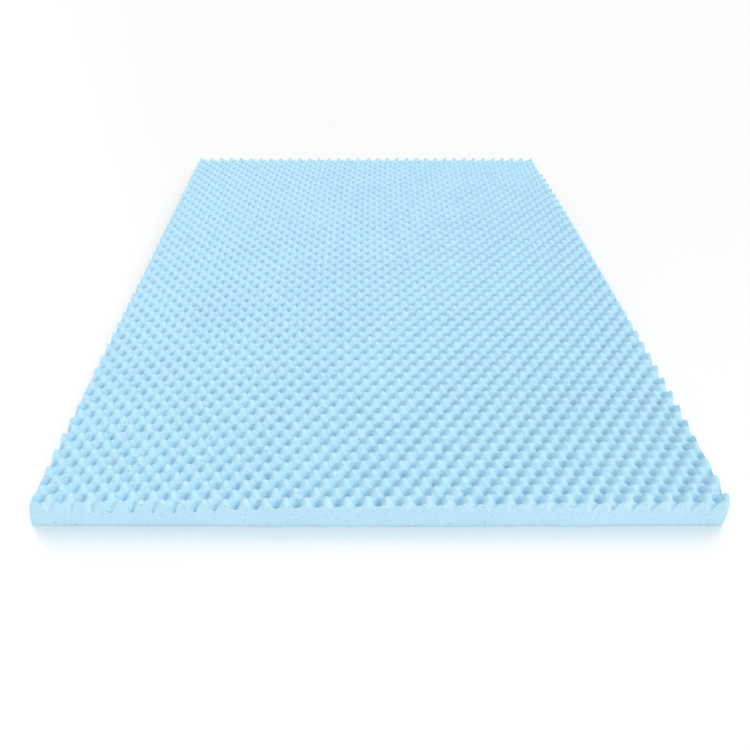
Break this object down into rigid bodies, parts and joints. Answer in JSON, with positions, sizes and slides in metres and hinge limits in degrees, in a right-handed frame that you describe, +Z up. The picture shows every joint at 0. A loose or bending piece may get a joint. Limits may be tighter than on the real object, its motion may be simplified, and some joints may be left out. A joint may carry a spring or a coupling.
{
  "type": "convoluted foam mattress topper",
  "caption": "Flat slab of soft foam that lies on a mattress, with a cut egg-crate top of rounded peaks and valleys and a flat underside.",
  "frame": {"origin": "centre of the slab's bounding box, on the flat underside that it rests on", "axes": "+X to the right across the bed, +Y along the bed from the near end to the far end, +Z up out of the peaks"},
  "size_m": [1.557, 2.032, 0.076],
  "materials": {
    "foam": "matte open-cell foam, pale blue"
  },
  "bodies": {
    "root": {"foam_slab": "foam"}
  },
  "joints": []
}
